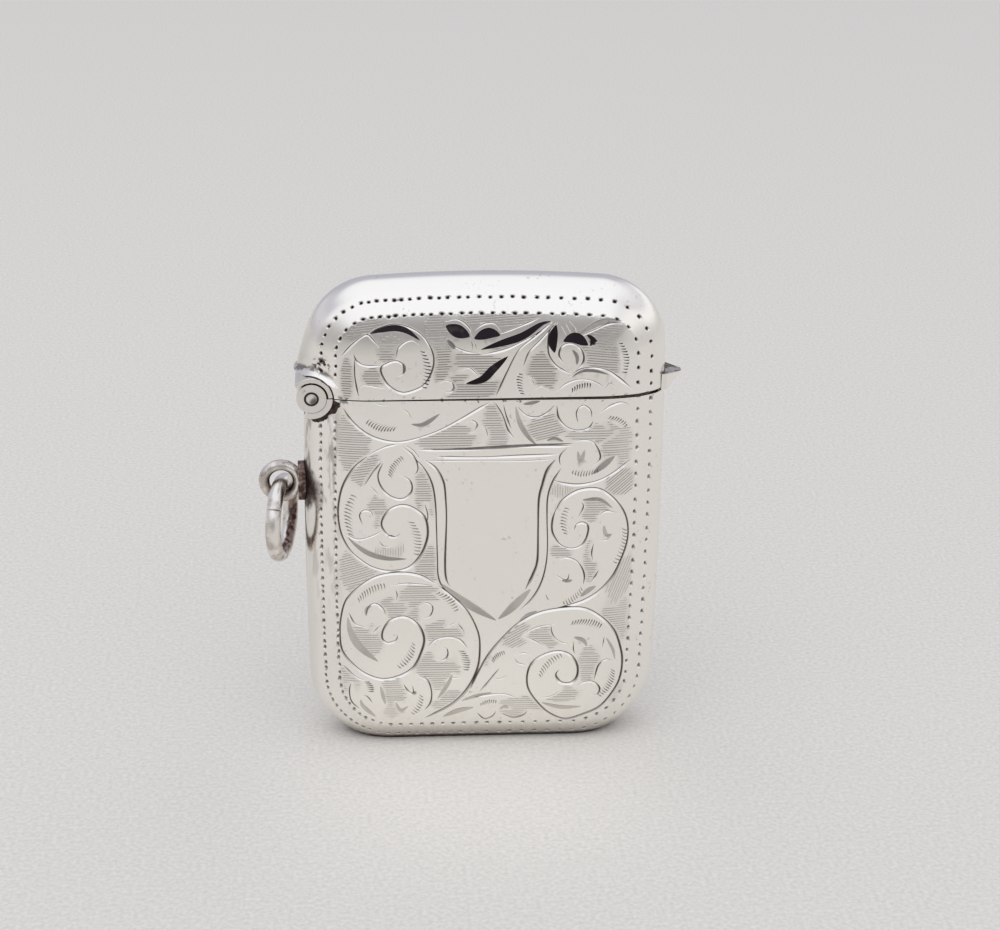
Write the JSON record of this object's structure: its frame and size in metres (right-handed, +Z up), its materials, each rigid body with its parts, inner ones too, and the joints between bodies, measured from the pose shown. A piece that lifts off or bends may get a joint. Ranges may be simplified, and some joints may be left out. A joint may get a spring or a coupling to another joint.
{
  "type": "vesta case",
  "caption": "Flat cushion-shaped silver match case with a side-hinged lid, a striker in its base, an engraved front and a chain ring at one side.",
  "frame": {"origin": "middle of the flat base, on the surface that the case stands on", "axes": "+X along the width towards the thumbpiece, +Y from the engraved front to the back, +Z up from the base to the lid"},
  "size_m": [0.0386, 0.0082, 0.0458],
  "materials": {
    "silver_sheet": "polished silver, hand engraved, lightly tarnished in the cuts",
    "silver_hinge": "worn silver with tarnish in the joints",
    "silver_wire": "worn silver wire with brown tarnish inside",
    "striker": "dull ribbed silver"
  },
  "bodies": {
    "body": {"body_front": "silver_sheet", "body_back": "silver_sheet", "mouth_bezel": "silver_sheet", "striker_strip": "striker", "body_hinge_bearer": "silver_hinge", "front_knuckle": "silver_hinge", "rear_knuckle": "silver_hinge", "hinge_pin": "silver_hinge", "ring_eye": "silver_wire"},
    "lid": {"lid_front": "silver_sheet", "lid_back": "silver_sheet", "lid_hinge_bearer": "silver_hinge", "lid_knuckle": "silver_hinge", "thumbpiece": "silver_sheet"},
    "ring": {"jump_ring": "silver_wire"}
  },
  "joints": [
    {"name": "lid_hinge", "type": "hinge", "parent": "body", "child": "lid", "pos_m": [-0.01566, 0, 0.03504], "axis": [0, -1, 0], "range_deg": [0, 105]},
    {"name": "ring_swing", "type": "hinge", "parent": "body", "child": "ring", "pos_m": [-0.01861, 0, 0.0259], "axis": [0, 1, 0], "range_deg": [-8, 95]}
  ]
}
